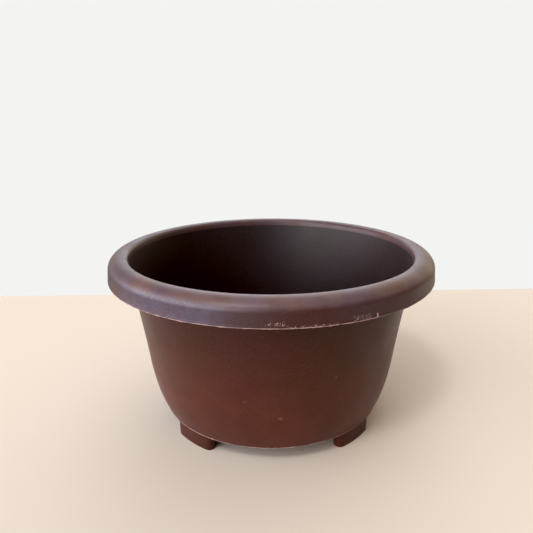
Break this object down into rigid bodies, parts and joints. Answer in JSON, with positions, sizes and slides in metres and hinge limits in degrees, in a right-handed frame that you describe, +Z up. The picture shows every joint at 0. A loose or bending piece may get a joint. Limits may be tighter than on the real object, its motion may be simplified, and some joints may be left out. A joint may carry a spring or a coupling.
{
  "type": "bonsai pot",
  "caption": "Round plastic bonsai pot with a rolled rim, tapering wall, rounded base edge and short arc-shaped feet.",
  "frame": {"origin": "centre of the ring of feet, on the plane that the pot stands on", "axes": "+Z up along the pot's axis of revolution; the feet lie on the diagonals between X and Y, with the front towards -Y"},
  "size_m": [0.28, 0.28, 0.15],
  "materials": {
    "maroon_plastic": "satin moulded polypropylene, dark maroon-brown"
  },
  "bodies": {
    "root": {"pot_wall": "maroon_plastic", "rim_top": "maroon_plastic", "rim_skirt": "maroon_plastic", "pot_floor": "maroon_plastic", "foot_front_left": "maroon_plastic", "foot_front_right": "maroon_plastic", "foot_rear_left": "maroon_plastic", "foot_rear_right": "maroon_plastic"}
  },
  "joints": []
}
